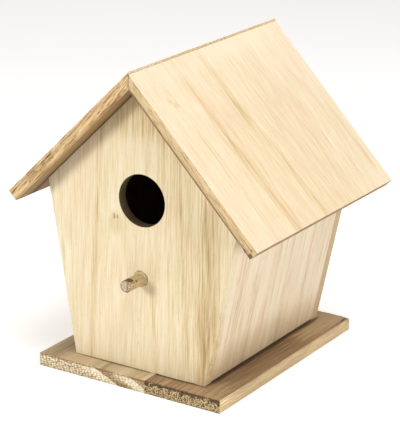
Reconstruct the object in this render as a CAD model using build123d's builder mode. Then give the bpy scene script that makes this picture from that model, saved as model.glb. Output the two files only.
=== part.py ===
from build123d import *
import os
from math import atan2, cos, degrees, radians, sin, tan

# A small unfinished birdhouse: a flared box of thin boards under a mitred gable roof,
# standing on a plinth of two edge-glued planks. Millimetres, +Z up, the front faces -Y,
# and the origin is the centre of the plinth's underside.

# Plinth: two planks glued edge to edge, grain from front to back
base_width = 140.0
base_depth = 175.3
base_thickness = 9.0
plank_joint_x = 13.2
base_edge_round = 1.2
base_arris = 0.4

# Body: gable panels in front and behind, flared side walls between them
house_shift = 1.2
body_depth = 149.9
panel_thickness = 7.9
side_thickness = 7.8
foot_width = 100.2
eave_width = 145.8
eave_height = 117.6
peak_height = 192.0
foot_gap_front = 0.6
foot_gap_rear = 1.0

# Entrance and perch in the front panel, heights above the plinth
entrance_diameter = 35.0
entrance_height = 115.7
perch_diameter = 8.3
perch_height = 62.8
perch_projection = 17.4
perch_fit = 0.05
perch_end_arris = 0.4

# Roof: two boards meeting in a plumb mitre, square-cut at the eaves
roof_depth = 182.0
roof_front_overhang = 17.0
roof_left_slope = 132.0
roof_right_slope = 136.2
roof_left_thickness = 8.3
roof_right_thickness = 7.1
mitre_gap = 0.2

# Brads that pin the left roof board to the end of the right one
brad_count = 3
brad_first = 46.2
brad_spacing = 38.2
brad_setback = 3.0
brad_length = 20.0
brad_shank = 1.2
brad_head = 2.0
brad_head_height = 0.6
brad_sink = 0.3

# Wire nails driven up through the plinth into the feet of the gable panels
nail_spread = 72.0
nail_length = 24.0
nail_shank = 1.8
nail_head = 4.2
nail_head_height = 0.9
nail_sink = 0.2

point_ratio = 2.0
nail_fit = 0.03

# Angles and heights that follow from the sizes above
flare = degrees(atan2((eave_width - foot_width) / 2, eave_height))
pitch = degrees(atan2(peak_height - eave_height, eave_width / 2))
peak_z = base_thickness + peak_height
eave_z = base_thickness + eave_height
body_front_y = house_shift - body_depth / 2
body_rear_y = house_shift + body_depth / 2
inner_depth = body_depth - 2 * panel_thickness
roof_front_y = body_front_y - roof_front_overhang
roof_rear_y = roof_front_y + roof_depth

os.makedirs("parts", exist_ok=True)


def gable_outline() -> Sketch:
    """Face of a gable panel: narrow foot, wider eaves, peak under the ridge."""
    with BuildSketch() as outline:
        with BuildLine():
            Polyline(
                (-foot_width / 2, base_thickness),
                (foot_width / 2, base_thickness),
                (eave_width / 2, eave_z),
                (0, peak_z),
                (-eave_width / 2, eave_z),
                close=True,
            )
        make_face()
    return outline.sketch


def side_section() -> Sketch:
    """End view of the right side wall: it leans out with the panels and its top
    is bevelled to lie against the underside of the roof."""
    bevel = side_thickness / cos(radians(pitch - flare))
    inward = (-side_thickness * cos(radians(flare)), side_thickness * sin(radians(flare)))
    foot = (foot_width / 2, base_thickness)
    eave = (eave_width / 2, eave_z)
    with BuildSketch() as section:
        with BuildLine():
            Polyline(
                foot,
                eave,
                (eave[0] - bevel * cos(radians(pitch)), eave[1] + bevel * sin(radians(pitch))),
                (foot[0] + inward[0], foot[1] + inward[1]),
                close=True,
            )
        make_face()
    return section.sketch


def roof_section(slope: float, thickness: float, side: int) -> Sketch:
    """End view of one roof board: plumb mitre at the ridge, square end at the eave."""
    run, rise = cos(radians(pitch)), sin(radians(pitch))
    mitre_x = mitre_gap / 2
    mitre_drop = mitre_x * tan(radians(pitch))
    top_z = peak_z + thickness / run
    eave_top = (slope * run, top_z - slope * rise)
    corners = [
        (mitre_x, peak_z - mitre_drop),
        (mitre_x, top_z - mitre_drop),
        eave_top,
        (eave_top[0] - thickness * rise, eave_top[1] - thickness * run),
    ]
    with BuildSketch() as section:
        with BuildLine():
            Polyline([(side * x, z) for x, z in corners], close=True)
        make_face()
    return section.sketch


def wire_nail(head: float, head_height: float, shank: float, length: float) -> Part:
    """A nail that hangs down from the top of its head at the origin."""
    point = point_ratio * shank
    with BuildPart() as nail:
        with BuildSketch(Plane.XZ):
            with BuildLine():
                Polyline(
                    (0, 0),
                    (head / 2, 0),
                    (head / 2, -head_height),
                    (shank / 2, -head_height),
                    (shank / 2, point - length),
                    (0, -length),
                    close=True,
                )
            make_face()
        revolve(axis=Axis.Z)
    return nail.part


# Where the nails start: each plane lies on the surface that the nail enters and
# faces outwards. The brads stand square to the left slope, close to the ridge.
slope_normal = Vector(-sin(radians(pitch)), 0, cos(radians(pitch)))
slope_down = Vector(-cos(radians(pitch)), 0, -sin(radians(pitch)))
ridge_top_z = peak_z + roof_left_thickness / cos(radians(pitch))
brad_seats = [
    Plane(
        origin=Vector(0, roof_front_y + brad_first + i * brad_spacing, ridge_top_z)
        + slope_down * brad_setback,
        x_dir=(0, 1, 0),
        z_dir=slope_normal,
    )
    for i in range(brad_count)
]
nail_rows = (body_front_y + panel_thickness / 2, body_rear_y - panel_thickness / 2)
left_nail_seats = [Plane((-nail_spread / 2, y, 0), z_dir=(0, 0, -1)) for y in nail_rows]
right_nail_seats = [Plane((nail_spread / 2, y, 0), z_dir=(0, 0, -1)) for y in nail_rows]


def plinth_nail_holes(seats: list) -> None:
    """Holes for the plinth nails, with their heads let in below the surface."""
    with Locations(*seats):
        CounterBoreHole(
            radius=nail_shank / 2 + nail_fit,
            counter_bore_radius=nail_head / 2 + nail_fit,
            counter_bore_depth=nail_head_height + nail_sink,
            depth=nail_sink + nail_length,
        )


def ridge_brad_holes() -> None:
    """Holes for the ridge brads, cut alike in both roof boards."""
    with Locations(*brad_seats):
        CounterBoreHole(
            radius=brad_shank / 2 + nail_fit,
            counter_bore_radius=brad_head / 2 + nail_fit,
            counter_bore_depth=brad_head_height + brad_sink,
            depth=brad_sink + brad_length,
        )


# The left plank runs from the outer edge to the glue line
with BuildPart() as base_plank_left:
    with BuildSketch():
        with Locations((-base_width / 2, 0)):
            Rectangle(base_width / 2 + plank_joint_x, base_depth, align=(Align.MIN, Align.CENTER))
    extrude(amount=base_thickness)
    outer_edges = base_plank_left.edges().filter_by(Axis.Y).group_by(Axis.X)[0]
    fillet(outer_edges, base_arris)
    plinth_nail_holes(left_nail_seats)
base_plank_left.part.label = "base_plank_left"
export_step(base_plank_left.part, "parts/base_plank_left.step")

# The right plank's upper outer edge is worn round
with BuildPart() as base_plank_right:
    with BuildSketch():
        with Locations((base_width / 2, 0)):
            Rectangle(base_width / 2 - plank_joint_x, base_depth, align=(Align.MAX, Align.CENTER))
    extrude(amount=base_thickness)
    outer_edges = base_plank_right.edges().filter_by(Axis.Y).group_by(Axis.X)[-1]
    fillet(outer_edges.sort_by(Axis.Z)[-1], base_edge_round)
    lower_edges = base_plank_right.edges().filter_by(Axis.Y).group_by(Axis.Z)[0]
    fillet(lower_edges.sort_by(Axis.X)[-1], base_arris)
    plinth_nail_holes(right_nail_seats)
base_plank_right.part.label = "base_plank_right"
export_step(base_plank_right.part, "parts/base_plank_right.step")

# Front panel with the entrance and the hole that the perch is driven into
with BuildPart() as front_panel:
    with BuildSketch(Plane.XZ.offset(-body_front_y)):
        add(gable_outline())
        with Locations((0, base_thickness + entrance_height)):
            Circle(entrance_diameter / 2, mode=Mode.SUBTRACT)
        with Locations((0, base_thickness + perch_height)):
            Circle(perch_diameter / 2 + perch_fit, mode=Mode.SUBTRACT)
    extrude(amount=-panel_thickness)
    plinth_nail_holes([left_nail_seats[0], right_nail_seats[0]])
front_panel.part.label = "front_panel"
export_step(front_panel.part, "parts/front_panel.step")

with BuildPart() as rear_panel:
    with BuildSketch(Plane.XZ.offset(-body_rear_y)):
        add(gable_outline())
    extrude(amount=panel_thickness)
    plinth_nail_holes([left_nail_seats[1], right_nail_seats[1]])
rear_panel.part.label = "rear_panel"
export_step(rear_panel.part, "parts/rear_panel.step")

# The side wall hangs between the panels and stops short of the plinth: its foot is cut
# square to the board, a little higher behind than in front
lean = (sin(radians(flare)), cos(radians(flare)))
foot_cut = Plane(
    origin=(foot_width / 2, body_front_y + panel_thickness, base_thickness + foot_gap_front),
    x_dir=(-lean[1], 0, lean[0]),
    z_dir=Vector(-lean[1], 0, lean[0]).cross(
        Vector(0, inner_depth, foot_gap_rear - foot_gap_front)
    ) * -1,
)
with BuildPart() as side_wall_right:
    with BuildSketch(Plane.XZ.offset(-house_shift)):
        add(side_section())
    extrude(amount=inner_depth / 2, both=True)
    split(bisect_by=foot_cut, keep=Keep.TOP)
side_wall_right.part.label = "side_wall_right"
export_step(side_wall_right.part, "parts/side_wall_right.step")

with BuildPart() as side_wall_left:
    mirror(side_wall_right.part, about=Plane.YZ)
side_wall_left.part.label = "side_wall_left"
export_step(side_wall_left.part, "parts/side_wall_left.step")

with BuildPart() as roof_board_left:
    with BuildSketch(Plane.XZ.offset(-roof_rear_y)):
        add(roof_section(roof_left_slope, roof_left_thickness, -1))
    extrude(amount=roof_depth)
    ridge_brad_holes()
roof_board_left.part.label = "roof_board_left"
export_step(roof_board_left.part, "parts/roof_board_left.step")

with BuildPart() as roof_board_right:
    with BuildSketch(Plane.XZ.offset(-roof_rear_y)):
        add(roof_section(roof_right_slope, roof_right_thickness, 1))
    extrude(amount=roof_depth)
    ridge_brad_holes()
roof_board_right.part.label = "roof_board_right"
export_step(roof_board_right.part, "parts/roof_board_right.step")

# The perch is a length of dowel, flush with the inside of the front panel
with BuildPart() as perch_dowel:
    with BuildSketch(Plane.XZ.offset(-body_front_y - panel_thickness)):
        with Locations((0, base_thickness + perch_height)):
            Circle(perch_diameter / 2)
    extrude(amount=panel_thickness + perch_projection)
    chamfer(perch_dowel.edges().sort_by(Axis.Y)[0], perch_end_arris)
perch_dowel.part.label = "perch_dowel"
export_step(perch_dowel.part, "parts/perch_dowel.step")

with BuildPart() as ridge_brads:
    with Locations(*[seat.offset(-brad_sink) for seat in brad_seats]):
        add(wire_nail(brad_head, brad_head_height, brad_shank, brad_length))
ridge_brads.part.label = "ridge_brads"
export_step(ridge_brads.part, "parts/ridge_brads.step")

with BuildPart() as base_nails:
    with Locations(*[seat.offset(-nail_sink) for seat in left_nail_seats + right_nail_seats]):
        add(wire_nail(nail_head, nail_head_height, nail_shank, nail_length))
base_nails.part.label = "base_nails"
export_step(base_nails.part, "parts/base_nails.step")
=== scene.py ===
from math import atan2, cos, hypot, pi, radians, sin, tan

import bmesh
import bpy
from mathutils import Matrix, Vector, noise


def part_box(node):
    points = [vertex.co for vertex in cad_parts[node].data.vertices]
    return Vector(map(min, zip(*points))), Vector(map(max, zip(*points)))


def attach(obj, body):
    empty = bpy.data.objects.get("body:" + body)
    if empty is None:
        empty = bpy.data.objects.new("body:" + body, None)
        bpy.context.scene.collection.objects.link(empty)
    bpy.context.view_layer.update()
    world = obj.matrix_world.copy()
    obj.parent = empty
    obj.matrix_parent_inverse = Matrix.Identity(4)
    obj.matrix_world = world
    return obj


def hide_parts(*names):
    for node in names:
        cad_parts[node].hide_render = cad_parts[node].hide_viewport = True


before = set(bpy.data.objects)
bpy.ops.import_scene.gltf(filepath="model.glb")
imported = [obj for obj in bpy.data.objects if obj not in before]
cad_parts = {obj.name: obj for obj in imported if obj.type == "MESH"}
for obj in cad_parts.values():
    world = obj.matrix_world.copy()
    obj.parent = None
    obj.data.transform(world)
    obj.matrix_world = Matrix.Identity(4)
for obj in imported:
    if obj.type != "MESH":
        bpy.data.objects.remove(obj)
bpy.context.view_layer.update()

mm = 0.001


# ---------------------------------------------------------------- camera
# A long lens a little over a metre off, to the right of the front and somewhat above,
# held very slightly out of level.
camera_place = Vector((0.67040, -1.10585, 0.53019))
camera_round = radians(31.2724)
camera_above = radians(18.6268)
camera_tilt = radians(1.4200)
camera_lens = 169.9273
film_width = 36.0

back = Vector((
    sin(camera_round) * cos(camera_above),
    -cos(camera_round) * cos(camera_above),
    sin(camera_above),
))
level = Vector((cos(camera_round), sin(camera_round), 0.0))
rise = back.cross(level)
right = level * cos(camera_tilt) + rise * sin(camera_tilt)
upward = rise * cos(camera_tilt) - level * sin(camera_tilt)

camera_data = bpy.data.cameras.new("camera")
camera_data.lens = camera_lens
camera_data.sensor_width = film_width
camera_data.sensor_fit = "AUTO"
camera_data.clip_start = 0.05
camera_data.clip_end = 50.0
camera = bpy.data.objects.new("camera", camera_data)
camera_turn = Matrix((right, upward, back)).transposed().to_4x4()
camera.matrix_world = Matrix.Translation(camera_place) @ camera_turn
bpy.context.scene.collection.objects.link(camera)
bpy.context.scene.camera = camera
bpy.context.scene.view_settings.view_transform = "Standard"


# ---------------------------------------------------------------- plinth
# Two paulownia planks glued edge to edge, grain from front to back: pale sapwood on the
# left, brown heartwood on the right. Crosscut in front and behind, so the pores show
# there, and the right plank's upper long edge is rubbed round.
hair = 0.01 * mm


def seated(origin, out, up):
    """Where a board sits: its face side looks along out, and its grain runs along up."""
    depth = -Vector(out)
    across = depth.cross(Vector(up))
    turn = Matrix((across, depth, Vector(up))).transposed().to_4x4()
    return Matrix.Translation(origin) @ turn


def oblong(width, foot, top):
    """The outline of a board with square ends."""
    return (0, foot), (width, foot), (width, top), (0, top)


def only(parts, kind):
    """The corners, edges or faces among the parts that an operation has made."""
    return [part for part in parts if isinstance(part, kind)]


def ease(bm, faces, arris, wear):
    """Takes the sharp corner off round a flat side of a board, in three rings that follow
    a quarter circle. Wear says how much more or less is rubbed off at a place than the
    usual arris."""
    quarter_circle = ((0.134, 1.0), (0.366, 0.5), (0.5, 0.134))
    mark = bm.faces.layers.float["arris"]
    side = set(faces)
    on_side = {vert for face in faces for vert in face.verts}
    rim = {vert for vert in on_side if any(near not in side for near in vert.link_faces)}
    corner = {vert: vert.co.copy() for vert in rim}
    drop = dict.fromkeys(rim, 0.0)
    down = {}
    for vert in rim:
        edge = next(edge for edge in vert.link_edges if not side.intersection(edge.link_faces))
        down[vert] = (edge.other_vert(vert).co - vert.co).normalized()
    for inset, fall in quarter_circle:
        ring = bmesh.ops.inset_region(
            bm,
            faces=faces,
            thickness=inset * arris,
            use_even_offset=True,
            use_boundary=True,
        )
        for face in ring["faces"]:
            face[mark] = 1.0
            for edge in face.edges:
                inner = [vert for vert in edge.verts if vert in rim]
                if len(inner) == 1:
                    outer = edge.other_vert(inner[0])
                    corner[outer] = corner[inner[0]]
                    down[outer] = down[inner[0]]
                    drop[outer] = fall
    for vert, place in corner.items():
        rounded = vert.co + down[vert] * drop[vert] * arris
        vert.co = place + (rounded - place) * wear(place)


def board(outline, thickness, seat, seed, bores=(), slides=(), arris=(0.5, 0.5), square=(), chips=()):
    """Saws a board from flat stock. The outline is drawn on its face side in millimetres, x
    across the grain and z along it, and y goes in from the face. Bores are round holes: x,
    z, radius, and the depths at which they start and end. Slides are the planes to which
    the top end is cut once the board is seated: a point, and which way the waste lies.
    Arris is how much the corners round the face and the back are worn. Square are the edges
    that meet another board and stay sharp: 0, 1 or 2 for x, y or z, and where. Chips are
    knocks: x, y, z, how far round, how deep."""
    bm = bmesh.new()
    bm.faces.layers.float.new("arris")
    bored = bm.faces.layers.float.new("bored")
    corners = [bm.verts.new((x * mm, 0, z * mm)) for x, z in outline]
    sides = [bm.edges.new(ends) for ends in zip(corners, corners[1:] + corners[:1])]
    grown = bmesh.ops.extrude_edge_only(bm, edges=sides)["geom"]
    far = only(grown, bmesh.types.BMVert)
    bmesh.ops.translate(bm, verts=far, vec=(0, thickness * mm, 0))
    top = max(vert.co.z for vert in bm.verts)
    ground = seat.inverted()
    for point, waste in slides:
        on_plane = ground @ Vector(point)
        facing = ground.to_3x3() @ Vector(waste)
        for vert in bm.verts:
            if vert.co.z > top - hair:
                vert.co.z -= (vert.co - on_plane).dot(facing) / facing.z
    wear_step = max(1.2, 1.5 * max(arris)) * mm
    for face in bm.faces[:]:
        longways = [edge for edge in face.edges if abs(edge.verts[0].co.y - edge.verts[1].co.y) < hair]
        cuts = int(longways[0].calc_length() / wear_step)
        bmesh.ops.subdivide_edges(bm, edges=longways, cuts=cuts)
    for x, z, radius, start, end in bores:
        centre = Matrix.Translation((x * mm, start * mm, z * mm)) @ Matrix.Rotation(pi / 2, 4, "X")
        before = set(bm.edges)
        bmesh.ops.create_circle(bm, segments=int(radius * 4.5) + 12, radius=radius * mm, matrix=centre)
        ring = [edge for edge in bm.edges if edge not in before]
        grown = bmesh.ops.extrude_edge_only(bm, edges=ring)["geom"]
        far = only(grown, bmesh.types.BMVert)
        bmesh.ops.translate(bm, verts=far, vec=(0, (end - start) * mm, 0))
        if end not in (0, thickness):
            edges = only(grown, bmesh.types.BMEdge)
            rim = [edge for edge in edges if edge.verts[0] in far and edge.verts[1] in far]
            grown += bmesh.ops.contextual_create(bm, geom=rim)["faces"]
        for face in only(grown, bmesh.types.BMFace):
            face[bored] = 1.0
    knocks = [
        (Vector((x * mm, y * mm, z * mm)), reach * mm, deep / max(arris))
        for x, y, z, reach, deep in chips
    ]

    def wear(place):
        """How much more than usual is rubbed off: unevenly, least at joints, most at chips."""
        slow_waves = 160
        quick_waves = 700
        splinters = 1500
        joint_reach = 0.3 * mm
        rim_reach = 0.1 * mm
        least = 0.08
        worn = 1.0 + 0.5 * noise.noise(place * slow_waves + Vector((seed, 0, 0)))
        worn += 0.35 * noise.noise(place * quick_waves + Vector((0, seed, 0)))
        for axis, value in square:
            if abs(place[axis] - value * mm) < joint_reach:
                worn *= 0.15
        for x, z, radius, _, _ in bores:
            if abs(hypot(place.x - x * mm, place.z - z * mm) - radius * mm) < rim_reach:
                worn *= 0.3
        for spot, reach, deep in knocks:
            away = (place - spot).length / reach
            if away < 1:
                worn += deep * (1 - away ** 2) * (0.7 + 0.8 * noise.noise(place * splinters))
        return max(worn, least)

    def lies_at(part, depth):
        """Whether an edge or a face lies flat at this depth."""
        return all(abs(vert.co.y - depth) < hair for vert in part.verts)

    for depth, looks, worn_back in ((0.0, -1, arris[0]), (thickness * mm, 1, arris[1])):
        rims = [edge for edge in bm.edges if lies_at(edge, depth)]
        bmesh.ops.triangle_fill(bm, edges=rims, use_beauty=True, use_dissolve=True, normal=(0, looks, 0))
        faces = [face for face in bm.faces if lies_at(face, depth)]
        bm.normal_update()
        ease(bm, faces, worn_back * mm, wear)
    bmesh.ops.transform(bm, matrix=seat, verts=bm.verts[:])
    bmesh.ops.recalc_face_normals(bm, faces=bm.faces[:])
    return bm


def finished(name, bm, material, smooth_to=30):
    """Puts a made shape into the scene. Corners of more than smooth_to degrees look sharp."""
    mesh = bpy.data.meshes.new(name)
    for face in bm.faces:
        face.smooth = True
    bm.to_mesh(mesh)
    bm.free()
    mesh.set_sharp_from_angle(angle=radians(smooth_to))
    mesh.materials.append(material)
    piece = bpy.data.objects.new(name, mesh)
    bpy.context.scene.collection.objects.link(piece)
    return piece


class Tone:
    """A value, colour or direction that runs through a finish. Sums on it add the nodes
    that work them out."""

    def __init__(self, tree, socket=None):
        self.tree = tree
        self.socket = socket

    def node(self, kind, settings=None, values=None, out=0):
        """Adds a node of a type, with its settings and then its sockets' values or links. A
        ramp's stops are places from 0 to 1 with their colours."""
        made = self.tree.nodes.new(kind)
        for name, setting in (settings or {}).items():
            if name == "stops":
                while len(made.color_ramp.elements) < len(setting):
                    made.color_ramp.elements.new(1.0)
                for stop, (position, colour) in zip(made.color_ramp.elements, setting):
                    stop.position = position
                    stop.color = (*colour, 1.0)
            else:
                setattr(made, name, setting)
        for port, value in (values or {}).items():
            if isinstance(value, Tone):
                self.tree.links.new(value.socket, made.inputs[port])
            else:
                made.inputs[port].default_value = value
        return Tone(self.tree, made.outputs[out])

    def sum(self, operation, first, second=0.0):
        return self.node("ShaderNodeMath", {"operation": operation}, {0: first, 1: second})

    def __add__(self, other):
        return self.sum("ADD", self, other)

    def __radd__(self, other):
        return self.sum("ADD", other, self)

    def __sub__(self, other):
        return self.sum("SUBTRACT", self, other)

    def __rsub__(self, other):
        return self.sum("SUBTRACT", other, self)

    def __mul__(self, other):
        return self.sum("MULTIPLY", self, other)

    def __rmul__(self, other):
        return self.sum("MULTIPLY", other, self)

    def __truediv__(self, other):
        return self.sum("DIVIDE", self, other)

    def __pow__(self, other):
        return self.sum("POWER", self, other)

    def __abs__(self):
        return self.sum("ABSOLUTE", self)

    def fade(self, start, end, high=1.0, low=0.0):
        """Goes softly from high at start to low at end, and stays there."""
        return self.node(
            "ShaderNodeMapRange",
            {"interpolation_type": "SMOOTHSTEP"},
            {0: self, 1: start, 2: end, 3: high, 4: low},
        )

    def parts(self):
        """The three parts of a direction or place."""
        split = self.tree.nodes.new("ShaderNodeSeparateXYZ")
        self.tree.links.new(self.socket, split.inputs[0])
        return [Tone(self.tree, split.outputs[i]) for i in range(3)]

    def mottle(self, across, along, detail=2.0, rough=0.55, shift=0.0):
        """Uneven growth, about 0 on average, in patches of these sizes. Shift is where in
        the endless pattern it is taken from."""
        away = (shift, shift * 1.7, shift * 2.3)
        closer = (1 / across, 1 / across, 1 / along)
        moved = self.node("ShaderNodeVectorMath", {"operation": "ADD"}, {0: self, 1: away})
        sized = self.node("ShaderNodeVectorMath", {"operation": "MULTIPLY"}, {0: moved, 1: closer})
        cloud = self.node(
            "ShaderNodeTexNoise",
            {},
            {"Vector": sized, "Scale": 1.0, "Detail": detail, "Roughness": rough},
        )
        return cloud - 0.5

    def over(self, colour, mask, how="MIX"):
        """This colour with another laid over it where the mask is strong."""
        return self.node(
            "ShaderNodeMix",
            {"data_type": "RGBA", "blend_type": how},
            {0: mask, 6: self, 7: colour},
            out=2,
        )

    def toward(self, way):
        """How much this direction looks the given way: 1 for wholly, -1 for the opposite."""
        settings = {"operation": "DOT_PRODUCT"}
        return self.node("ShaderNodeVectorMath", settings, {0: self, 1: way[:3]}, out="Value")


def paulownia(
    name,
    seat,
    seed,
    tones,
    thickness=8.0,
    streaks=(),
    stains_and_painted_shade=(),
    spots_and_painted_light=(),
    pith=(30, 70),
    ring=6.5,
    figure=0.2,
    dashes=0.8,
    strands=0.5,
    drift=0.5,
    lean=0.3,
    wander=1.0,
    gloss=0.30,
    arris_shade=(0.92, 0.88, 0.82),
    end_grain=None,
    end_shade=(0.80, 0.77, 0.73),
    edge_shade=(1.0, 1.0, 1.0),
    edge_foot_shade=(1.0, 1.0, 1.0),
    splits=0.0,
    pits=(),
    pitted=1,
    inner_painted_shade=None,
    joint_lines_and_shade=(),
):
    """Raw sanded paulownia, as it grew in this board, in millimetres on the board. Tones
    run from pale to dark. Streaks are bands of darker growth that follow the grain: across
    and along at the top, across and along at the foot, half width, strength. Stains and
    painted shade are the same, but straight: some are the wood's own tone and some are
    painted shade. Spots are across, along, half width, half height, strength: knots and
    flecks, and on some boards painted shade and painted light.
    Pith is the middle of the growth rings and ring their spacing. Figure, dashes, strands
    and drift say how much rings, pores, bundles and broad patches show; lean and wander
    how far the grain slants into the board and strays.

    The shades multiply the colour on worn corners, sawn ends, long edges, and, as painted
    shade, the part of the long edges away from the face and the inside. Splits are cracks
    in the long edges of a roughly sawn board. Its pits are torn places in one of those
    edges, the right one or with pitted -1 the left: along, depth, half length, half height,
    strength. Joint lines and shade are the dark lines on the inside where another board
    meets this one, with painted shade beside them: across, half width, strength. End grain,
    where a board has its own, is worked out from the place on it."""
    material = bpy.data.materials.new(name)
    material.use_nodes = True
    tree = material.node_tree
    shader = tree.nodes["Principled BSDF"]
    start = Tone(tree)
    place = start.node("ShaderNodeTexCoord", out="Object")
    facing = start.node("ShaderNodeTexCoord", out="Normal")
    stock = start.node(
        "ShaderNodeMapping",
        {"vector_type": "TEXTURE"},
        {"Vector": place, "Location": seat.translation, "Rotation": seat.to_euler(), "Scale": (mm, mm, mm)},
    )
    across, depth, along = stock.parts()
    thread = across + stock.mottle(7, 40, 2.0, 0.5, seed + 3) * (wander * 3.5) + depth * lean
    line = thread + stock.mottle(60, 200, 1.0, 0.5, seed) * (wander * 9.0)
    flow = start.node("ShaderNodeCombineXYZ", {}, {0: thread, 1: depth, 2: along})

    dash = flow.mottle(0.7, 24, 2.0, 0.6, seed + 7)
    strand = flow.mottle(1.8, 60, 3.0, 0.6, seed + 11)
    broad = flow.mottle(13, 150, 2.0, 0.5, seed + 17)
    pore = flow.mottle(0.55, 4.5, 1.0, 0.5, seed + 23).fade(0.10, 0.20, 0.0, 0.14)
    radius = start.sum("SQRT", (line - pith[0]) ** 2.0 + (depth - pith[1]) ** 2.0)
    growth = start.sum("FRACT", radius / ring + broad * 1.5)
    late = growth ** 2.0 * growth.fade(0.82, 1.0) * (figure * 0.35) * (1.0 + strand * 3.0)
    plain = 0.20
    dark = plain + (dash + pore) * dashes + strand * strands + broad * drift + late

    def band(where, top_x, top_z, foot_x, foot_z, half, strength):
        """A dark band from its top to its foot, which runs out over 16 mm at both ends."""
        run_out = 16
        slope = (top_x - foot_x) / (top_z - foot_z)
        off = abs(where - (along * slope + (top_x - slope * top_z)))
        below_top = along.fade(top_z, top_z + run_out)
        above_foot = along.fade(foot_z - run_out, foot_z, 0.0, 1.0)
        return off.fade(0.0, half, strength, 0.0) * below_top * above_foot

    def patch(first, second, half_first, half_second, strength):
        """A dark patch with a ragged outline, round a middle on two of the board's ways."""
        round_first = (first[0] - first[1]) / half_first
        round_second = (second[0] - second[1]) / half_second
        off = round_first * round_first + round_second * round_second + dash * 3.0
        return off.fade(0.0, 1.3, strength, 0.0)

    for streak in streaks:
        dark = dark + band(thread, *streak) * (1.0 + strand * 2.5 + dash * 2.0)
    for straight_band in stains_and_painted_shade:
        dark = dark + band(across, *straight_band) * (1.0 + dash * 1.5)
    for spot_x, spot_z, half_x, half_z, strength in spots_and_painted_light:
        dark = dark + patch((thread, spot_x), (along, spot_z), half_x, half_z, strength)
    stops = list(zip((0.0, 0.28, 0.60, 1.0), tones))
    colour = start.node("ShaderNodeValToRGB", {"stops": stops}, {0: dark})
    blush = stock.mottle(16, 50, 2.0, 0.5, seed + 31).fade(-0.02, 0.2, 0.0, 0.8)
    colour = colour.over((1.0, 0.95, 0.95, 1.0), blush, "MULTIPLY")

    end = abs(facing.toward(seat.col[2])).fade(0.55, 0.85, 0.0, 1.0)
    relief = dash * 1.2 + strand * 0.5
    if end_grain:
        end_colour, end_relief = end_grain(across, depth, along)
        colour = colour.over(end_colour, end)
        relief = relief + end_relief * end
    else:
        marks = flow.mottle(0.8, 6, 1.0, 0.5, seed + 41).fade(0.02, 0.14, 0.0, 0.5) * end
        colour = colour.over((*end_shade, 1.0), end, "MULTIPLY")
        colour = colour.over((0.30, 0.22, 0.15, 1.0), marks, "MULTIPLY")

    sideways = facing.toward(seat.col[0])
    edge = abs(sideways).fade(0.45, 0.85, 0.0, 1.0)
    colour = colour.over((*edge_shade, 1.0), edge, "MULTIPLY")
    # Painted shade: the part of the long edges away from the face is darkened where the edge turns under.
    far_part = edge * depth.fade(thickness * 0.68, thickness, 0.0, 1.0)
    colour = colour.over((*edge_foot_shade, 1.0), far_part, "MULTIPLY")
    if splits:
        slant = depth + along * 0.07 + broad * 8.0
        sawn = start.node("ShaderNodeCombineXYZ", {}, {0: across * 0.2, 1: slant, 2: along})
        fibre = sawn.mottle(0.8, 14, 3.0, 0.75, seed + 53).fade(-0.02, 0.11, 0.0, 1.0) * edge
        crack = sawn.mottle(1.0, 6, 3.0, 0.7, seed + 59).fade(0.10, 0.20, 0.0, 1.0) * edge
        colour = colour.over((0.52, 0.41, 0.31, 1.0), fibre * splits, "MULTIPLY")
        colour = colour.over((0.38, 0.28, 0.20, 1.0), crack * splits, "MULTIPLY")
        relief = relief - (fibre + crack) * 1.5
        pitting = 0.0
        for pit_z, pit_y, half_z, half_y, strength in pits:
            pitting = patch((along, pit_z), (depth, pit_y), half_z, half_y, strength) + pitting
        pitted_edge = (sideways * pitted).fade(0.3, 0.8, 0.0, 1.0)
        torn = sawn.mottle(0.55, 5, 2.0, 0.6, seed + 67).fade(-0.10, 0.07, 0.35, 1.0)
        colour = colour.over((0.23, 0.165, 0.12, 1.0), pitting * pitted_edge * torn, "MULTIPLY")

    rubbed = start.node("ShaderNodeAttribute", {"attribute_name": "arris"}, out="Fac")
    colour = colour.over((*arris_shade, 1.0), rubbed * (0.6 + strand * 2.5), "MULTIPLY")
    # Painted shade: the walls of the bores are darkened as though little light reached them.
    bored = start.node("ShaderNodeAttribute", {"attribute_name": "bored"}, out="Fac")
    colour = colour.over((0.205, 0.175, 0.14, 1.0), bored, "MULTIPLY")
    # Painted shade: faces that look into the house or under the roof are darkened as if out of the light.
    if inner_painted_shade:
        inner = facing.toward(seat.col[1]).fade(0.82, 0.96, 0.0, 1.0)
        colour = colour.over((*inner_painted_shade, 1.0), inner, "MULTIPLY")
        # Dark joint lines where another board meets this one, widened into painted shade beside them.
        for seam_x, half, strength in joint_lines_and_shade:
            joint_line_and_shade = abs(across - seam_x).fade(0.0, half, strength, 0.0) * inner
            colour = colour.over((0.22, 0.17, 0.12, 1.0), joint_line_and_shade, "MULTIPLY")
    tree.links.new(colour.socket, shader.inputs["Base Color"])

    rough = 0.60 + dash * 0.35 + end * 0.12 - rubbed * 0.06
    tree.links.new(rough.socket, shader.inputs["Roughness"])
    shader.inputs["Specular IOR Level"].default_value = gloss
    bump = start.node("ShaderNodeBump", {}, {"Height": relief, "Strength": 0.5, "Distance": 0.15 * mm})
    tree.links.new(bump.socket, shader.inputs["Normal"])
    return material


left_low, left_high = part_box("base_plank_left")
right_low, right_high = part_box("base_plank_right")
plank_thickness = (left_high.z - left_low.z) / mm
plank_length = (left_high.y - left_low.y) / mm
pale_plank_tones = (
    (0.60, 0.485, 0.315),
    (0.47, 0.36, 0.205),
    (0.31, 0.21, 0.11),
    (0.17, 0.105, 0.05),
)
brown_plank_tones = (
    (0.49, 0.345, 0.18),
    (0.29, 0.185, 0.095),
    (0.18, 0.105, 0.05),
    (0.08, 0.045, 0.02),
)


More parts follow.
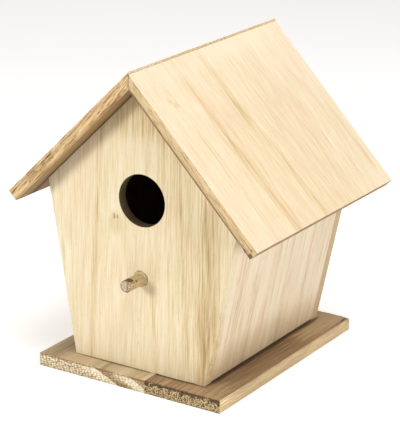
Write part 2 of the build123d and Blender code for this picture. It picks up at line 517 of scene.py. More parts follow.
def cells(across, depth, turn, size, randomness):
    """Slanting rows of end-grain cells, from the cosine and sine of the slant and a cell's
    length and height: each point's place in the rows, and how far it is from the middle of
    its cell."""
    down_row = (across * turn[0] - depth * turn[1]) / size[0]
    over_rows = (across * turn[1] + depth * turn[0]) / size[1]
    row = across.node("ShaderNodeCombineXYZ", {}, {0: down_row, 1: over_rows})
    cell = across.node(
        "ShaderNodeTexVoronoi",
        {"voronoi_dimensions": "2D"},
        {"Vector": row, "Scale": 1.0, "Randomness": randomness},
    )
    return row, cell


def pale_end(across, depth, along):
    """Pale end grain: rows of small bright cells that rise to the right. The growth rings
    fall away to the right, brown just outside each ring and bleached before the next."""
    row, cell = cells(across, depth, (0.95, 0.31), (2.4, 1.35), 0.5)
    ripple = row.mottle(2.2, 1.0, 2.0, 0.6, 2.0)
    ring_slant = 2.25
    ring_top = 43.2
    past = across - depth * ring_slant - ring_top + ripple * 2.0
    brown = past.fade(-0.4, 0.4, 0.0, 1.0) * past.fade(5.0, 19.0)
    second = past.fade(26.4, 27.2, 0.0, 1.0)
    bleached = past.fade(-20.0, -2.0, 0.0, 1.0)
    under_top = depth.fade(0.8, 1.7) * 0.42
    near_foot = depth.fade(5.5, 9.0, 0.0, 0.12)
    bright = 0.34 + cell.fade(0.18, 0.54) * (0.56 - bleached * 0.22) + bleached * 0.34 + ripple * 0.7
    bright = bright - brown * 0.62 - second * 0.5 - under_top - near_foot
    stops = [
        (0.0, (0.22, 0.135, 0.06)),
        (0.3, (0.38, 0.265, 0.13)),
        (0.55, (0.53, 0.42, 0.27)),
        (0.9, (0.84, 0.76, 0.60)),
    ]
    return across.node("ShaderNodeValToRGB", {"stops": stops}, {0: bright}), bright * 0.8


def brown_end(across, depth, along):
    """Brown end grain: coarse dark pores in slanting rows, and a torn dark band under the
    top face."""
    row, cell = cells(across, depth, (0.9, 0.42), (1.35, 0.95), 0.9)
    crowd = row.mottle(3.0, 1.0, 3.0, 0.6, 4.0)
    torn = (depth + crowd * 10.0).fade(1.6, 3.0)
    pores = (cell + crowd * 0.4).fade(0.20, 0.50)
    bright = 0.78 + crowd * 0.6 - pores * 0.74 - torn * 0.52
    stops = [
        (0.0, (0.045, 0.027, 0.013)),
        (0.3, (0.17, 0.105, 0.05)),
        (0.6, (0.41, 0.29, 0.14)),
        (0.95, (0.65, 0.51, 0.285)),
    ]
    return across.node("ShaderNodeValToRGB", {"stops": stops}, {0: bright}), bright * 1.5


nail_spread = 72.0
nail_y = [
    sum(corner.y - left_low.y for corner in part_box(panel)) / 2 / mm
    for panel in ("front_panel", "rear_panel")
]
nail_bore = 2.13
nail_let_in = 1.1
nail_end = plank_thickness - nail_let_in
left_nail_x = -nail_spread / 2 - left_low.x / mm
right_nail_x = nail_spread / 2 - right_low.x / mm

left_plank_seat = seated((left_low.x, left_low.y, left_high.z), (0, 0, 1), (0, 1, 0))
left_plank_width = (left_high.x - left_low.x) / mm
left_plank_wood = paulownia(
    "plinth_wood_pale",
    left_plank_seat,
    seed=3.0,
    tones=pale_plank_tones,
    streaks=(
        (50, 176, 49.5, -1, 3.5, 0.34),
        (10, 176, 10, -1, 11, 0.24),
    ),
    stains_and_painted_shade=(
        (81.5, 176, 81.5, -1, 2.4, -0.45),
        (64, 176, 64, -1, 9, -0.20),
        # Painted shadow along the foot of the left side wall.
        (21, 150, 21, 25, 3.0, 0.30),
        (36, 11, 36, -1, 8, -0.09),
    ),
    # Painted shadow along the foot of the front panel.
    spots_and_painted_light=((53, 13.2, 35, 1.5, 0.8),),
    pith=(60, 34),
    ring=5.0,
    lean=-1.6,
    dashes=0.7,
    strands=0.25,
    drift=0.3,
    end_grain=pale_end,
    edge_shade=(1.5, 1.55, 1.7),
)
left_plank = finished(
    "plinth_plank_left",
    board(
        oblong(left_plank_width, 0, plank_length),
        plank_thickness,
        left_plank_seat,
        seed=1.0,
        bores=[(left_nail_x, y, nail_bore, plank_thickness, nail_end) for y in nail_y],
        arris=(0.5, 0.4),
        square=((0, left_plank_width),),
    ),
    left_plank_wood,
)
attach(left_plank, "root")
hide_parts("base_plank_left")

right_plank_seat = seated((right_low.x, right_low.y, right_high.z), (0, 0, 1), (0, 1, 0))
right_plank_width = (right_high.x - right_low.x) / mm
right_plank_wood = paulownia(
    "plinth_wood_brown",
    right_plank_seat,
    seed=29.0,
    tones=brown_plank_tones,
    streaks=(
        (21, 176, 20, -1, 9, 0.16),
        (2, 176, 2, -1, 3, 0.22),
    ),
    stains_and_painted_shade=(
        # Painted shadow: a dark line and a band along the foot of the side wall.
        (37.8, 160, 37.8, 24, 3.2, 0.75),
        (39, 135, 39, 60, 10, 0.12),
        (28, 110, 28, -1, 60, 0.15),
    ),
    spots_and_painted_light=(
        (44, 147, 4.0, 6.0, 0.3),
        # Painted light: these two lighten the back of the plank, which the roof shades.
        (44, 176, 12, 36, -0.36),
        (44, 176, 12, 62, -0.36),
        # Painted shadow at the back of the side wall's foot.
        (38.5, 150, 2.6, 14, 0.5),
        (32, 2, 30, 28, -0.22),
        # Painted shadow along the foot of the front panel.
        (14, 13.2, 26, 1.5, 0.8),
        (55.2, 168.5, 1.1, 4.0, 1.6),
    ),
    pith=(10, 60),
    ring=6.0,
    dashes=0.5,
    strands=0.12,
    drift=0.2,
    end_grain=brown_end,
    edge_shade=(1.95, 2.25, 2.45),
    arris_shade=(0.62, 0.52, 0.42),
)
right_plank = finished(
    "plinth_plank_right",
    board(
        oblong(right_plank_width, 0, plank_length),
        plank_thickness,
        right_plank_seat,
        seed=2.0,
        bores=[(right_nail_x, y, nail_bore, plank_thickness, nail_end) for y in nail_y],
        arris=(1.0, 0.4),
        square=((0, 0),),
        chips=(
            (right_plank_width, 0, plank_length - 2, 4.5, 1.2),
            (right_plank_width - 3, 0, plank_length, 3.0, 0.9),
        ),
    ),
    right_plank_wood,
)
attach(right_plank, "root")
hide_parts("base_plank_right")


# ---------------------------------------------------------------- gable panels
# The front and rear panels stand on the plinth, grain upright. The front one is bored for
# the entrance and for the perch; both carry the roof boards on their sloping tops.
foot_width = 100.2
eave_height = 117.6
entrance_height = 115.7
entrance_radius = 17.5
perch_height = 62.8
perch_slack = 0.05
# Painted shade for the faces inside the house, so the entrance looks dark.
house_inner_painted_shade = (0.32, 0.28, 0.23)
panel_tones = ((0.87, 0.79, 0.60), (0.775, 0.66, 0.43), (0.62, 0.475, 0.26), (0.38, 0.26, 0.12))

front_low, front_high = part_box("front_panel")
rear_low, rear_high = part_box("rear_panel")
perch_low, perch_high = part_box("perch_dowel")
panel_thickness = (front_high.y - front_low.y) / mm
peak_height = (front_high.z - front_low.z) / mm
eave_half = front_high.x / mm
perch_radius = (perch_high.x - perch_low.x) / 2 / mm
gable_outline = (
    (-foot_width / 2, 0),
    (foot_width / 2, 0),
    (eave_half, eave_height),
    (0, peak_height),
    (-eave_half, eave_height),
)
panel_arris = (0.35, 0.35)
panel_joints = ((1, panel_thickness), (2, 0))

front_seat = seated((0, front_low.y, front_low.z), (0, -1, 0), (0, 0, 1))
front_wood = paulownia(
    "front_panel_wood",
    front_seat,
    seed=11.0,
    tones=panel_tones,
    streaks=(
        (-2.2, 192, 14, -1, 3.6, 0.13),
        (26.5, 150, 38, -1, 2.4, 0.13),
        (41.5, 128, 47, -1, 1.5, 0.11),
        (44.5, 124, 50, -1, 1.4, 0.13),
        (48, 120, 53.5, 10, 1.6, 0.12),
        (53, 116, 57, 30, 1.3, 0.14),
        (58, 112, 60, 50, 1.4, 0.13),
        (64, 108, 63, 80, 1.2, 0.12),
        (-31.5, 165, -34.5, 105, 3.2, 0.15),
        (-34.5, 105, -38, -1, 3.0, 0.13),
        (-65, 126, -60, 60, 1.8, 0.15),
        (-58, 138, -55, 80, 1.5, 0.12),
        (-48, 145, -46, 85, 1.3, 0.10),
        (16, 160, 24, -1, 1.4, 0.08),
    ),
    stains_and_painted_shade=(
        # These two darken the right of the front: partly the wood's own darker band, partly painted shade
        # where the light falls off.
        (51, 122, 51, -1, 13.0, 0.36),
        (24, 165, 40, -1, 18.0, 0.13),
        # Painted shade under the roof at the top of the gable.
        (0, 200, 0, 166, 52.0, 0.34),
    ),
    spots_and_painted_light=(
        (-21, 101.5, 0.9, 2.2, 0.60),
        (-18.5, 101.5, 0.8, 1.8, 0.55),
        (-20, 97, 6.0, 9.0, 0.26),
        (-58.5, 140.5, 1.2, 1.4, 0.35),
        (-1, 34.5, 0.8, 1.6, 0.20),
        (-1, 18.5, 0.8, 1.6, 0.20),
    ),
    dashes=0.8,
    strands=0.20,
    wander=0.7,
    pith=(62, 46),
    ring=7.0,
    inner_painted_shade=house_inner_painted_shade,
    thickness=panel_thickness,
)
front_panel = finished(
    "front_panel_board",
    board(
        gable_outline,
        panel_thickness,
        front_seat,
        seed=3.0,
        bores=(
            (0, entrance_height, entrance_radius, 0, panel_thickness),
            (0, perch_height, perch_radius + perch_slack, 0, panel_thickness),
        ),
        arris=panel_arris,
        square=panel_joints,
        chips=((41.5, 0, 0, 2.4, 0.8), (38, 0, 0, 1.4, 0.5), (15, 0, 0, 2.6, 0.4)),
    ),
    front_wood,
)
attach(front_panel, "root")
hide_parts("front_panel")

rear_seat = seated((0, rear_high.y, rear_low.z), (0, 1, 0), (0, 0, 1))
rear_wood = paulownia(
    "rear_panel_wood",
    rear_seat,
    seed=47.0,
    tones=panel_tones,
    streaks=(
        (-22, 175, -31, -1, 4.0, 0.20),
        (8, 192, 4, -1, 2.4, 0.14),
        (37, 155, 42, -1, 5.0, 0.16),
        (40, 150, 44, -1, 1.5, 0.14),
    ),
    dashes=0.7,
    strands=0.22,
    pith=(-50, 52),
    ring=7.5,
    edge_shade=(0.72, 0.63, 0.55),
    inner_painted_shade=house_inner_painted_shade,
    thickness=panel_thickness,
)
rear_panel = finished(
    "rear_panel_board",
    board(gable_outline, panel_thickness, rear_seat, seed=4.0, arris=panel_arris, square=panel_joints),
    rear_wood,
)
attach(rear_panel, "root")
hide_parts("rear_panel")


# ---------------------------------------------------------------- perch
# A short length of dowel, driven through the front panel under the entrance and worn a
# little uneven. Some glue has squeezed out round it and dried brown.
perch_axis = Vector((0, 0, (perch_low.z + perch_high.z) / 2))
dowel_sides = 56
dowel_lengths = (0.30, 0.36, 0.28, 0.06)
dowel_arris = 0.4
dowel_wear = 0.10
dowel_tones = (
    (0.60, 0.48, 0.28),
    (0.45, 0.34, 0.17),
    (0.26, 0.17, 0.075),
    (0.07, 0.04, 0.02),
)

bm = bmesh.new()
bm.faces.layers.float.new("arris")
lay_along = Matrix.Translation((0, perch_high.y, perch_axis.z)) @ Matrix.Rotation(pi / 2, 4, "X")
bmesh.ops.create_circle(
    bm,
    cap_ends=True,
    segments=dowel_sides,
    radius=perch_radius * mm,
    matrix=lay_along,
)
end_disc = bm.faces[:]
for reach in dowel_lengths:
    grown = bmesh.ops.extrude_face_region(bm, geom=end_disc)["geom"]
    end_disc = only(grown, bmesh.types.BMFace)
    onward = (0, (perch_low.y - perch_high.y) * reach, 0)
    bmesh.ops.translate(bm, verts=only(grown, bmesh.types.BMVert), vec=onward)
bmesh.ops.recalc_face_normals(bm, faces=bm.faces[:])
rims = [edge for edge in bm.edges if len(edge.link_faces) == 2 and edge.calc_face_angle() > 1.0]
bmesh.ops.bevel(
    bm,
    geom=rims,
    offset=dowel_arris * mm,
    offset_type="OFFSET",
    segments=2,
    profile=0.5,
    affect="EDGES",
    material=-1,
)
for vert in bm.verts:
    out = vert.co - Vector((0, vert.co.y, perch_axis.z))
    uneven = noise.noise(Vector((vert.co.x * 300, vert.co.y * 120, vert.co.z * 300)))
    if out.length > 0.5 * mm:
        vert.co -= out.normalized() * max(0.0, uneven) * dowel_wear * mm


def dowel_end(across, depth, along):
    """The dowel's sawn end: bleached grey in the middle, with a few brown streaks and a
    brown rim."""
    face = across.node("ShaderNodeCombineXYZ", {}, {0: across + depth * 0.4, 1: depth, 2: along})
    streak = face.mottle(0.7, 3.0, 2.0, 0.6, 9.0)
    middle = across.sum("SQRT", across * across + depth * depth)
    brown_line = abs(depth + 1.5).fade(0.2, 1.1) * 0.42
    bright = 0.62 + streak * 2.2 - middle.fade(2.8, 4.0, 0.0, 0.42) - brown_line
    stops = [
        (0.0, (0.15, 0.09, 0.045)),
        (0.4, (0.38, 0.28, 0.16)),
        (0.7, (0.56, 0.48, 0.36)),
        (1.0, (0.70, 0.65, 0.55)),
    ]
    return across.node("ShaderNodeValToRGB", {"stops": stops}, {0: bright}), streak * 2.0


perch_seat = seated(perch_axis + Vector((0, perch_low.y, 0)), (1, 0, 0), (0, 1, 0))
perch_wood = paulownia(
    "perch_wood",
    perch_seat,
    seed=61.0,
    tones=dowel_tones,
    spots_and_painted_light=(
        (-3.9, 1.6, 0.7, 1.4, 1.4),
        (-3.0, 2.3, 0.8, 0.6, 0.8),
        (-3.7, 4.0, 0.7, 1.3, 1.3),
        (-1.9, 4.3, 0.7, 0.6, 0.6),
        (-2.3, 7.2, 0.9, 0.7, 1.4),
        (-0.4, 2.8, 0.5, 0.9, 0.6),
        (1.2, 5.5, 0.5, 1.2, 0.4),
    ),
    pith=(1.4, 1.0),
    ring=2.0,
    lean=0.0,
    wander=0.1,
    end_grain=dowel_end,
)
perch = finished("perch", bm, perch_wood, smooth_to=40)
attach(perch, "root")
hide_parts("perch_dowel")


def in_millimetres(start):
    """The place on a piece in millimetres, for stuff that has no grain."""
    place = start.node("ShaderNodeTexCoord", out="Object")
    return start.node("ShaderNodeMapping", {}, {"Vector": place, "Scale": (1 / mm,) * 3})


glue_tones = ((0.52, 0.40, 0.225, 1.0), (0.26, 0.17, 0.08, 1.0))
bead_width = 1.4
bead_height = 0.9
bead_steps = 8
ring_steps = 72

bm = bmesh.new()
bead = []
for i in range(bead_steps + 1):
    outward = bead_width * mm * i / bead_steps
    height = bead_height * mm * cos(pi / 2 * i / bead_steps)
    bead.append(bm.verts.new((perch_radius * mm + outward, 0, height)))
bead_edges = [bm.edges.new(pair) for pair in zip(bead, bead[1:])]
bmesh.ops.spin(
    bm,
    geom=bead + bead_edges,
    cent=(0, 0, 0),
    axis=(0, 0, 1),
    angle=2 * pi,
    steps=ring_steps,
    use_merge=True,
)
bmesh.ops.remove_doubles(bm, verts=bm.verts[:], dist=hair)
for vert in bm.verts:
    out = Vector((vert.co.x, vert.co.y, 0))
    turn = out.normalized()
    swell = 1 + 0.45 * noise.noise(turn * 1.3 + Vector((4, 0, 0))) + 0.15 * noise.noise(turn * 4)
    past = out.length - perch_radius * mm
    vert.co += turn * past * (swell - 1)
    vert.co.z *= swell
on_panel = Matrix.Translation((0, front_low.y, perch_axis.z)) @ Matrix.Rotation(pi / 2, 4, "X")
bmesh.ops.transform(bm, matrix=on_panel, verts=bm.verts[:])
bmesh.ops.recalc_face_normals(bm, faces=bm.faces[:])

glue = bpy.data.materials.new("dried_glue")
glue.use_nodes = True
glue_start = Tone(glue.node_tree)
glue_place = in_millimetres(glue_start)
glue_cloud = glue_place.mottle(1.6, 1.6, 3.0, 0.6, 2.0)
glue_x, _, glue_z = glue_place.parts()
glue_middle = glue_start.sum("SQRT", glue_x ** 2.0 + (glue_z - perch_axis.z / mm) ** 2.0)
glue_rim = glue_middle.fade(perch_radius + 0.7, perch_radius + 1.3, 0.0, 1.0) + glue_cloud * 1.5
glue_colour = glue_start.node(
    "ShaderNodeMix",
    {"data_type": "RGBA"},
    {0: glue_rim, 6: glue_tones[0], 7: glue_tones[1]},
    out=2,
)
glue_shader = glue.node_tree.nodes["Principled BSDF"]
glue.node_tree.links.new(glue_colour.socket, glue_shader.inputs["Base Color"])
glue.node_tree.links.new((0.42 + glue_cloud * 0.3).socket, glue_shader.inputs["Roughness"])
glue_ring = finished("perch_glue", bm, glue, smooth_to=60)
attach(glue_ring, "root")


# ---------------------------------------------------------------- side walls
# One board each side between the panels, grain upright, leaning out towards the eaves.
# Each is sawn a little too long and its top planed to the slope of the roof; the foot
# stops just short of the plinth.
foot_gap_front = 0.6
foot_gap_rear = 1.0
flare = atan2(eave_half - foot_width / 2, eave_height)
pitch = atan2(peak_height - eave_height, eave_half)
side_tones = ((0.88, 0.77, 0.59), (0.80, 0.665, 0.48), (0.62, 0.48, 0.30), (0.38, 0.27, 0.15))

side_low, side_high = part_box("side_wall_right")
wall_width = (side_high.y - side_low.y) / mm
wall_reach = eave_height / cos(flare)
wall_thickness = 7.8
wall_spare = 12
foot = Vector((foot_width / 2 * mm, side_low.y, front_low.z))
peak = Vector((0, 0, front_high.z))

right_wall_seat = seated(foot, (cos(flare), 0, -sin(flare)), (sin(flare), 0, cos(flare)))
right_wall_wood = paulownia(
    "side_wall_right_wood",
    right_wall_seat,
    seed=83.0,
    tones=side_tones,
    streaks=(
        (31.5, 90, 39.5, -1, 5.0, 0.11),
        (52.5, 76, 56, 25, 1.6, 0.10),
        (58.5, 95, 64.5, -1, 2.8, 0.14),
        (67, 90, 72.5, -1, 2.4, 0.11),
        (75, 95, 82, -1, 3.2, 0.13),
        (103.5, 95, 111, -1, 2.8, 0.14),
        (122, 95, 128, -1, 4.0, 0.09),
        (14, 95, 19, -1, 12.0, 0.16),
    ),
    stains_and_painted_shade=(
        (130, 110, 130, 55, 16.0, 0.10),
        (30, 60, 30, -1, 12.0, 0.06),
    ),
    # Painted shade: the wall darkens towards its foot, where the plinth and floor shade it.
    spots_and_painted_light=((67, -6, 120, 34, 0.38),),
    dashes=0.95,
    strands=0.18,
    pith=(170, 30),
    ring=6.0,
    inner_painted_shade=house_inner_painted_shade,
    thickness=wall_thickness,
)
wall_outline = (
    (0, foot_gap_front),
    (wall_width, foot_gap_rear),
    (wall_width, wall_reach + wall_spare),
    (0, wall_reach + wall_spare),
)
right_wall = finished(
    "side_wall_right_board",
    board(
        wall_outline,
        wall_thickness,
        right_wall_seat,
        seed=5.0,
        slides=((peak, (sin(pitch), 0, cos(pitch))),),
        arris=(0.2, 0.2),
        square=((0, 0),),
    ),
    right_wall_wood,
)
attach(right_wall, "root")
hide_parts("side_wall_right")

left_foot = Vector((-foot.x, side_high.y, foot.z))
left_wall_seat = seated(left_foot, (-cos(flare), 0, -sin(flare)), (-sin(flare), 0, cos(flare)))
left_wall_wood = paulownia(
    "side_wall_left_wood",
    left_wall_seat,
    seed=97.0,
    tones=side_tones,
    streaks=(
        (26, 120, 20, -1, 3.0, 0.16),
        (62, 120, 56, -1, 4.0, 0.16),
        (65, 120, 59, -1, 1.5, 0.14),
        (99, 120, 95, -1, 2.4, 0.20),
    ),
    dashes=0.95,
    strands=0.25,
    pith=(40, 60),
    ring=6.5,
    inner_painted_shade=house_inner_painted_shade,
    thickness=wall_thickness,
)
left_wall = finished(
    "side_wall_left_board",
    board(
        (
            (0, foot_gap_rear),
            (wall_width, foot_gap_front),
            (wall_width, wall_reach + wall_spare),
            (0, wall_reach + wall_spare),
        ),
        wall_thickness,
        left_wall_seat,
        seed=6.0,
        slides=((peak, (-sin(pitch), 0, cos(pitch))),),
        arris=(0.2, 0.2),
        square=((0, wall_width),),
    ),
    left_wall_wood,
)
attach(left_wall, "root")
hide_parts("side_wall_left")


# ---------------------------------------------------------------- roof
# Two boards, grain running down the slope, meeting in a plumb mitre at the ridge. The
# left one is a little thicker, so its brown end grain stands just proud along the ridge,
# nicked where the brads went in.
left_slope = 132.0
right_slope = 136.2
left_thickness = 8.3
right_thickness = 7.1
mitre_gap = 0.2
ridge_spare = 6
# Painted shade on the undersides of the roof boards, darker than the light under the eaves makes them.
left_underside_painted_shade = (0.43, 0.335, 0.235)
right_underside_painted_shade = (0.50, 0.42, 0.33)
roof_tones = ((0.86, 0.74, 0.56), (0.775, 0.63, 0.425), (0.68, 0.505, 0.275), (0.42, 0.28, 0.14))

roof_low, roof_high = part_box("roof_board_right")
roof_length = (roof_high.y - roof_low.y) / mm
roof_overhang = (front_low.y - roof_low.y) / mm
right_out = Vector((sin(pitch), 0, cos(pitch)))
right_up = Vector((-cos(pitch), 0, sin(pitch)))
right_top = peak + Vector((0, 0, right_thickness * mm / cos(pitch)))
right_roof_seat = seated((right_top.x, roof_low.y, right_top.z), right_out, right_up)
right_roof_wood = paulownia(
    "roof_board_right_wood",
    right_roof_seat,
    seed=131.0,
    tones=roof_tones,
    streaks=(
        (24, -18, 25, -42, 1.5, 0.10),
        (46.5, -6, 49, -60, 4.0, 0.10),
        (25, -60, 29, -137, 4.5, 0.12),
        (47, -25, 49, -85, 8.0, 0.13),
        (49, -72, 54, -137, 8.0, 0.16),
        (49.5, -60, 55, -137, 2.2, 0.08),
        (79, -8, 80.5, -50, 6.0, 0.14),
        (79.5, -38, 91, -137, 6.5, 0.15),
        (81, -48, 92, -137, 2.0, 0.08),
        (120, -100, 122, -137, 1.5, 0.08),
    ),
    stains_and_painted_shade=(
        (112, -20, 112, -137, 64, 0.12),
        (58, 10, 62, -137, 40, 0.08),
        (145, 30, 145, -22, 60, -0.07),
        (90, 30, 90, -6, 150, -0.07),
        (90, 30, 90, -36, 150, -0.07),
        (172, -76, 174, -112, 4.5, 0.20),
        (142, -50, 146, -84, 10, 0.06),
    ),
    spots_and_painted_light=(
        (19.2, -26.4, 2.6, 2.2, 0.24),
        (22.5, -30, 2.8, 2.6, 0.26),
        (80, -44, 2.6, 5.0, 0.10),
    ),
    dashes=1.0,
    strands=0.18,
    drift=0.22,
    figure=0.05,
    pits=(
        (-59, 1.6, 1.2, 0.8, 0.45),
        (-35, 3.6, 2.0, 0.6, 0.35),
        (-25, 3.4, 2.0, 0.6, 0.30),
        (-9, 3.5, 1.5, 0.6, 0.30),
        (-108, 1.5, 1.5, 0.7, 0.30),
        (-18.5, 6.0, 2.0, 0.7, 0.40),
        (-41, 6.5, 2.0, 0.6, 0.35),
        (-134.6, 5.6, 1.8, 1.6, 1.5),
        (-132.6, 2.6, 1.1, 0.9, 1.2),
        (-129.5, 6.5, 2.4, 0.8, 1.2),
        (-1.4, 2.0, 1.0, 1.4, 1.6),
        (-5.2, 5.6, 1.0, 0.6, 0.80),
    ),
    pitted=-1,
    pith=(110, 58),
    ring=6.5,
    end_shade=(0.41, 0.33, 0.245),
    edge_shade=(0.85, 0.77, 0.61),
    edge_foot_shade=(0.30, 0.24, 0.205),
    splits=0.85,
    inner_painted_shade=right_underside_painted_shade,
    # A dark joint line under the front panel with painted shade beside it.
    joint_lines_and_shade=((roof_overhang, 2.5, 0.8),),
    thickness=right_thickness,
)
right_roof = finished(
    "roof_right_board",
    board(
        oblong(roof_length, -right_slope, ridge_spare),
        right_thickness,
        right_roof_seat,
        seed=7.0,
        slides=(((mitre_gap / 2 * mm, 0, 0), (-1, 0, 0)),),
        arris=(0.45, 0.2),
        square=((2, 0), (2, -right_thickness * tan(pitch))),
        chips=(
            (0, right_thickness, -right_slope + 9, 3.2, 1.6),
            (0, right_thickness, -right_slope + 3, 1.8, 0.8),
        ),
    ),
    right_roof_wood,
)
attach(right_roof, "root")
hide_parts("roof_board_right")

left_out = Vector((-sin(pitch), 0, cos(pitch)))
left_up = Vector((cos(pitch), 0, sin(pitch)))
left_top = peak + Vector((0, 0, left_thickness * mm / cos(pitch)))
left_roof_seat = seated((left_top.x, roof_high.y, left_top.z), left_out, left_up)
left_roof_wood = paulownia(
    "roof_board_left_wood",
    left_roof_seat,
    seed=151.0,
    tones=roof_tones,
    streaks=(
        (32, -1, 26, -137, 4.0, 0.18),
        (67, -1, 60, -137, 2.4, 0.28),
        (71, -1, 64, -137, 1.5, 0.16),
        (121, -1, 112, -137, 6.0, 0.14),
        (151, -1, 147, -137, 2.4, 0.22),
    ),
    stains_and_painted_shade=(
        (170, 10, 170, -6, 30, -0.28),
        (6, 10, 6, -6, 26, -0.22),
        (104, 10, 104, -4, 22, 0.14),
    ),
    dashes=1.0,
    strands=0.18,
    drift=0.22,
    figure=0.05,
    pits=(
        (-100, 3.2, 44, 1.5, 0.34),
        (-52, 3.0, 30, 1.1, 0.14),
        (-24, 2.8, 16, 1.0, 0.26),
        (-131, 2.0, 6.0, 1.2, 0.35),
        (-107, 2.2, 2.5, 1.0, 0.50),
        (-104.5, 4.0, 2.0, 0.8, 0.60),
        (-95.5, 3.0, 2.5, 1.2, 0.60),
        (-89, 2.4, 4.0, 0.9, 0.50),
        (-81.5, 4.0, 3.5, 0.8, 0.65),
        (-66, 2.2, 6.0, 0.6, 0.25),
        (-44, 2.0, 3.0, 0.6, 0.20),
        (-28, 3.0, 1.8, 0.8, 0.45),
        (-24.5, 2.4, 3.0, 0.7, 0.50),
        (-13, 2.6, 2.0, 0.8, 0.35),
        (-1.8, 2.4, 0.9, 1.6, 1.6),
        (-6.8, 5.9, 1.2, 0.7, 0.90),
    ),
    pith=(80, 54),
    ring=6.5,
    end_shade=(0.80, 0.74, 0.61),
    edge_shade=(0.88, 0.78, 0.60),
    edge_foot_shade=(0.66, 0.58, 0.47),
    splits=0.95,
    inner_painted_shade=left_underside_painted_shade,
    # A dark joint line over the front panel, with a wide band of painted shade beside it.
    joint_lines_and_shade=(
        (roof_length - roof_overhang, 9.0, 0.5),
        (roof_length - roof_overhang, 2.6, 1.0),
    ),
    gloss=0.08,
    thickness=left_thickness,
)
ridge_y = (46.2, 84.4, 122.6)
brad_setback = 3.0
brad_bore = 1.03
brad_let_in = 0.9
left_roof = finished(
    "roof_left_board",
    board(
        oblong(roof_length, -left_slope, ridge_spare),
        left_thickness,
        left_roof_seat,
        seed=8.0,
        slides=(((-mitre_gap / 2 * mm, 0, 0), (1, 0, 0)),),
        bores=[(roof_length - y, -brad_setback, brad_bore, 0, brad_let_in) for y in ridge_y],
        arris=(0.3, 0.5),
        square=((2, 0), (2, -left_thickness * tan(pitch))),
        chips=[(roof_length - y, 0.3, -0.3, 1.9, 0.8) for y in ridge_y],
    ),
    left_roof_wood,
)
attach(left_roof, "root")
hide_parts("roof_board_left")


# ---------------------------------------------------------------- nails
# Three thin brads hold the ridge together, and four wire nails come up through the plinth
# into the feet of the panels. Plain steel, dulled by handling.
steel = bpy.data.materials.new("dulled_steel")
steel.use_nodes = True
steel_start = Tone(steel.node_tree)
tarnish = in_millimetres(steel_start).mottle(0.9, 0.9, 3.0, 0.6, 5.0)
steel_colour = steel_start.node(
    "ShaderNodeValToRGB",
    {"stops": [(0.35, (0.16, 0.13, 0.11)), (0.65, (0.50, 0.49, 0.47))]},
    {0: tarnish + 0.5},
)
steel_shader = steel.node_tree.nodes["Principled BSDF"]
steel_shader.inputs["Metallic"].default_value = 0.9
steel.node_tree.links.new(steel_colour.socket, steel_shader.inputs["Base Color"])
steel.node_tree.links.new((0.42 - tarnish * 0.4).socket, steel_shader.inputs["Roughness"])
for node in ("ridge_brads", "base_nails"):
    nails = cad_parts[node]
    nails.data.materials.clear()
    nails.data.materials.append(steel)


# ---------------------------------------------------------------- floor and light
# A wide white sheet just under the house and plain soft light: three square lamps, in
# front on the left, high above and beside on the right, and an even surround. Sheet and
# surround look brighter to the camera than the light they cast.
sheet_half = 6.0
sheet_level = -0.2 * mm
lamp_aim = (0, 0, 0.1)


def looked_at(start):
    """1 where the camera looks straight at it, in a reflection or through glass; else 0."""
    straight = start.node("ShaderNodeLightPath", out="Is Camera Ray")
    mirrored = start.node("ShaderNodeLightPath", out="Is Glossy Ray")
    through = start.node("ShaderNodeLightPath", out="Is Transmission Ray")
    return straight + mirrored + through


bm = bmesh.new()
sheet_place = Matrix.Translation((0, 0, sheet_level))
bmesh.ops.create_grid(bm, x_segments=8, y_segments=8, size=sheet_half, matrix=sheet_place)

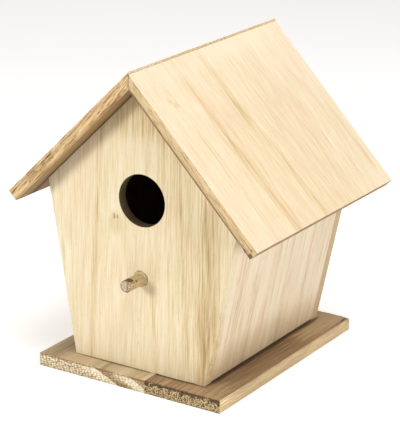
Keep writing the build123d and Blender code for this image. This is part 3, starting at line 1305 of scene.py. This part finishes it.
sheet = bpy.data.materials.new("white_sheet")
sheet.use_nodes = True
sheet.node_tree.nodes.remove(sheet.node_tree.nodes["Principled BSDF"])
sheet_start = Tone(sheet.node_tree)
sheet_cloud = sheet_start.node("ShaderNodeTexCoord", out="Object").mottle(0.5, 0.5, 2.0, 0.5, 1.0)
sheet_colour = sheet_start.node(
    "ShaderNodeValToRGB",
    {"stops": [(0.3, (0.86, 0.855, 0.85)), (0.7, (0.90, 0.895, 0.89))]},
    {0: sheet_cloud + 0.5},
)
sheet_light = sheet_start.node(
    "ShaderNodeEmission",
    {},
    {"Color": (1.0, 0.985, 0.97, 1.0), "Strength": 0.43},
)
sheet_white = sheet_start.node("ShaderNodeBsdfDiffuse", {}, {"Color": sheet_colour})
sheet_seen = sheet_start.node("ShaderNodeAddShader", {}, {0: sheet_white, 1: sheet_light})
sheet_mix = sheet_start.node(
    "ShaderNodeMixShader",
    {},
    {0: looked_at(sheet_start), 1: sheet_white, 2: sheet_seen},
)
sheet_end = sheet.node_tree.nodes["Material Output"]
sheet.node_tree.links.new(sheet_mix.socket, sheet_end.inputs["Surface"])
floor = finished("floor_sheet", bm, sheet)


def lamp(name, place, size, power, colour):
    """A square soft box that looks from its place at the middle of the house."""
    data = bpy.data.lights.new(name, "AREA")
    data.shape = "SQUARE"
    data.size = size
    data.energy = power
    data.color = colour
    made = bpy.data.objects.new(name, data)
    turn = (Vector(place) - Vector(lamp_aim)).to_track_quat("Z", "Y").to_matrix().to_4x4()
    made.matrix_world = Matrix.Translation(place) @ turn
    bpy.context.scene.collection.objects.link(made)


lamp("front_lamp", (-0.52, -1.20, 0.46), 0.34, 9.2, (1.0, 0.985, 0.96))
lamp("top_lamp", (0.42, -0.20, 1.6), 1.0, 16.2, (1.0, 0.99, 0.97))
lamp("side_lamp", (1.55, -0.20, 0.50), 0.8, 11.5, (1.0, 0.99, 0.98))

surround = bpy.data.worlds.new("surround")
surround.use_nodes = True
bpy.context.scene.world = surround
surround_start = Tone(surround.node_tree)
surround_light = surround_start.node(
    "ShaderNodeBackground",
    {},
    {"Color": (1.0, 0.99, 0.975, 1.0), "Strength": 0.24},
)
surround_white = surround_start.node(
    "ShaderNodeBackground",
    {},
    {"Color": (1.0, 0.985, 0.97, 1.0), "Strength": 1.0},
)
surround_mix = surround_start.node(
    "ShaderNodeMixShader",
    {},
    {0: looked_at(surround_start), 1: surround_light, 2: surround_white},
)
surround.node_tree.nodes.remove(surround.node_tree.nodes["Background"])
surround_end = surround.node_tree.nodes["World Output"]
surround.node_tree.links.new(surround_mix.socket, surround_end.inputs["Surface"])
